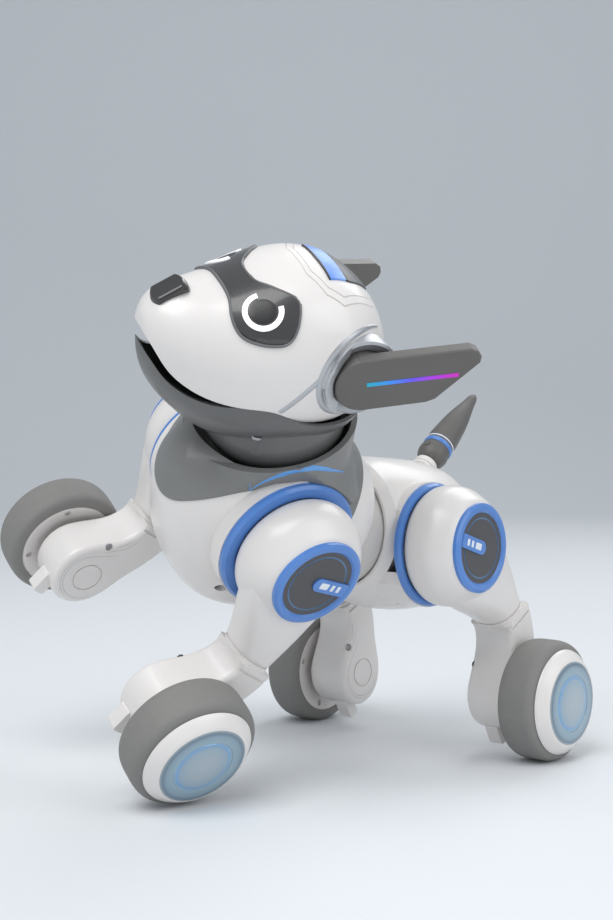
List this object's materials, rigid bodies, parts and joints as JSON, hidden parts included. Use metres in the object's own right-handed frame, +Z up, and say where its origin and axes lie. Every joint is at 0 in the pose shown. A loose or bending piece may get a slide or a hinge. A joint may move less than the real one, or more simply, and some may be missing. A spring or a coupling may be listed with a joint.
{
  "type": "robot dog toy",
  "caption": "Rolling robot puppy: two body halves joined by a twisting waist, leg arms with wheel feet, a turning head with ring eyes, lifting ears and a wagging tail.",
  "frame": {"origin": "on the floor, under the middle of the bounding box in the posed state: rear wheels and the left front wheel on the floor, right front leg raised", "axes": "+X towards the dog's left, -Y towards its front (the rear half faces straight along -Y), +Z up; the front half is twisted about the pitched waist axis"},
  "size_m": [0.2619, 0.2724, 0.2516],
  "materials": {
    "white_shell": "moulded warm white shell, satin",
    "blue_plastic": "blue moulded rim, satin",
    "disc_plate": "dark grey plate, fine matt",
    "tyre_rubber": "grey soft tyre, matt",
    "wheel_lens": "blue grey wheel cap, polished",
    "light_band": "pale grey waist drum, satin",
    "gearbox_nylon": "natural nylon gearbox case",
    "battery_wrap": "shrink wrap on the cells",
    "circuit_board": "green board with solder mask",
    "dark_plastic": "dark grey moulding, matt",
    "grey_plastic": "mid grey collar, matt",
    "jaw_plastic": "mid grey jaw, matt",
    "silver_trim": "silver coated bezel, brushed",
    "visor_gloss": "dark mask, polished",
    "window_glass": "dark blue cover of the display, polished",
    "eye_light": "white light ring, satin",
    "nose_gloss": "black nose, polished",
    "ear_light": "light strip, diffuse",
    "screw_steel": "zinc plated screw",
    "jack_plastic": "black jack body"
  },
  "bodies": {
    "rear_torso": {"battery_pack": "battery_wrap", "belly_cover": "white_shell", "charge_jack": "jack_plastic", "gearbox_set": "gearbox_nylon", "hip_rings": "blue_plastic", "rear_board": "circuit_board", "rear_screws": "screw_steel", "rear_shell_lower": "white_shell", "rear_shell_upper": "white_shell", "waist_rim": "white_shell"},
    "front_torso": {"collar": "grey_plastic", "front_gearbox_set": "gearbox_nylon", "front_screws": "screw_steel", "front_shell_lower": "white_shell", "front_shell_upper": "white_shell", "shoulder_rings": "blue_plastic", "waist_drum": "light_band"},
    "head": {"chin_screws": "screw_steel", "crown_window": "window_glass", "ear_bezels": "silver_trim", "eye_rings": "eye_light", "head_shell": "white_shell", "jaw": "jaw_plastic", "neck_post": "dark_plastic", "nose": "nose_gloss", "visor": "visor_gloss"},
    "ear_left": {"ear_left": "dark_plastic", "ear_light_left": "ear_light"},
    "ear_right": {"ear_light_right": "ear_light", "ear_right": "dark_plastic"},
    "tail": {"tail": "dark_plastic"},
    "power_switch": {"power_switch": "dark_plastic"},
    "leg_fl": {"disc_face_fl": "disc_plate", "disc_ring_fl": "blue_plastic", "shank_fl": "white_shell", "thigh_fl": "white_shell"},
    "leg_fr": {"disc_face_fr": "disc_plate", "disc_ring_fr": "blue_plastic", "shank_fr": "white_shell", "thigh_fr": "white_shell"},
    "leg_rl": {"disc_face_rl": "disc_plate", "disc_ring_rl": "blue_plastic", "shank_rl": "white_shell", "thigh_rl": "white_shell"},
    "leg_rr": {"disc_face_rr": "disc_plate", "disc_ring_rr": "blue_plastic", "shank_rr": "white_shell", "thigh_rr": "white_shell"},
    "wheel_fl": {"hub_fl": "white_shell", "lens_fl": "wheel_lens", "tyre_fl": "tyre_rubber"},
    "wheel_fr": {"hub_fr": "white_shell", "lens_fr": "wheel_lens", "tyre_fr": "tyre_rubber"},
    "wheel_rl": {"hub_rl": "white_shell", "lens_rl": "wheel_lens", "tyre_rl": "tyre_rubber"},
    "wheel_rr": {"hub_rr": "white_shell", "lens_rr": "wheel_lens", "tyre_rr": "tyre_rubber"}
  },
  "joints": [
    {"name": "waist_twist", "type": "hinge", "parent": "rear_torso", "child": "front_torso", "pos_m": [0.01445, 0.01674, 0.11906], "axis": [0, -0.9285, 0.3714], "range_deg": [-4, 75]},
    {"name": "shoulder_fl", "type": "hinge", "parent": "front_torso", "child": "leg_fl", "pos_m": [0.04255, -0.05516, 0.11515], "axis": [-0.8131, 0.2162, 0.5405], "range_deg": [-24, 60]},
    {"name": "shoulder_fr", "type": "hinge", "parent": "front_torso", "child": "leg_fr", "pos_m": [-0.02331, -0.03764, 0.15893], "axis": [-0.8131, 0.2162, 0.5405], "range_deg": [-24, 60]},
    {"name": "hip_rl", "type": "hinge", "parent": "rear_torso", "child": "leg_rl", "pos_m": [0.05495, 0.04219, 0.11016], "axis": [-1, 0, 0], "range_deg": [-35, 38]},
    {"name": "hip_rr", "type": "hinge", "parent": "rear_torso", "child": "leg_rr", "pos_m": [-0.02605, 0.04219, 0.11016], "axis": [-1, 0, 0], "range_deg": [-35, 38]},
    {"name": "wheel_spin_fl", "type": "hinge", "parent": "leg_fl", "child": "wheel_fl", "pos_m": [0.01829, -0.09728, 0.03074], "axis": [-0.8131, 0.2162, 0.5405], "continuous": true},
    {"name": "wheel_spin_fr", "type": "hinge", "parent": "leg_fr", "child": "wheel_fr", "pos_m": [-0.10446, -0.06521, 0.11263], "axis": [-0.8131, 0.2162, 0.5405], "continuous": true},
    {"name": "wheel_spin_rl", "type": "hinge", "parent": "leg_rl", "child": "wheel_rl", "pos_m": [0.08995, 0.08598, 0.0305], "axis": [-1, 0, 0], "continuous": true},
    {"name": "wheel_spin_rr", "type": "hinge", "parent": "leg_rr", "child": "wheel_rr", "pos_m": [-0.06105, 0.08598, 0.0305], "axis": [-1, 0, 0], "continuous": true},
    {"name": "head_yaw", "type": "hinge", "parent": "front_torso", "child": "head", "pos_m": [0.02865, -0.05389, 0.16867], "axis": [0.486, -0.259, 0.8347], "range_deg": [-39, 51]},
    {"name": "ear_lift_left", "type": "hinge", "parent": "head", "child": "ear_left", "pos_m": [0.08633, -0.06158, 0.1944], "axis": [0.7752, -0.3134, -0.5486], "range_deg": [-42.1, 27.9]},
    {"name": "ear_lift_right", "type": "hinge", "parent": "head", "child": "ear_right", "pos_m": [0.03517, -0.0409, 0.23061], "axis": [0.7752, -0.3134, -0.5486], "range_deg": [-24, 46]},
    {"name": "tail_wag", "type": "hinge", "parent": "rear_torso", "child": "tail", "pos_m": [0.01445, 0.09564, 0.15326], "axis": [0, -0.6293, 0.7771], "range_deg": [-22, 22], "stiffness_Nm_per_rad": 0.03},
    {"name": "power_slide", "type": "slide", "parent": "rear_torso", "child": "power_switch", "axis": [1, 0, 0], "range_m": [0, 0.004]}
  ]
}
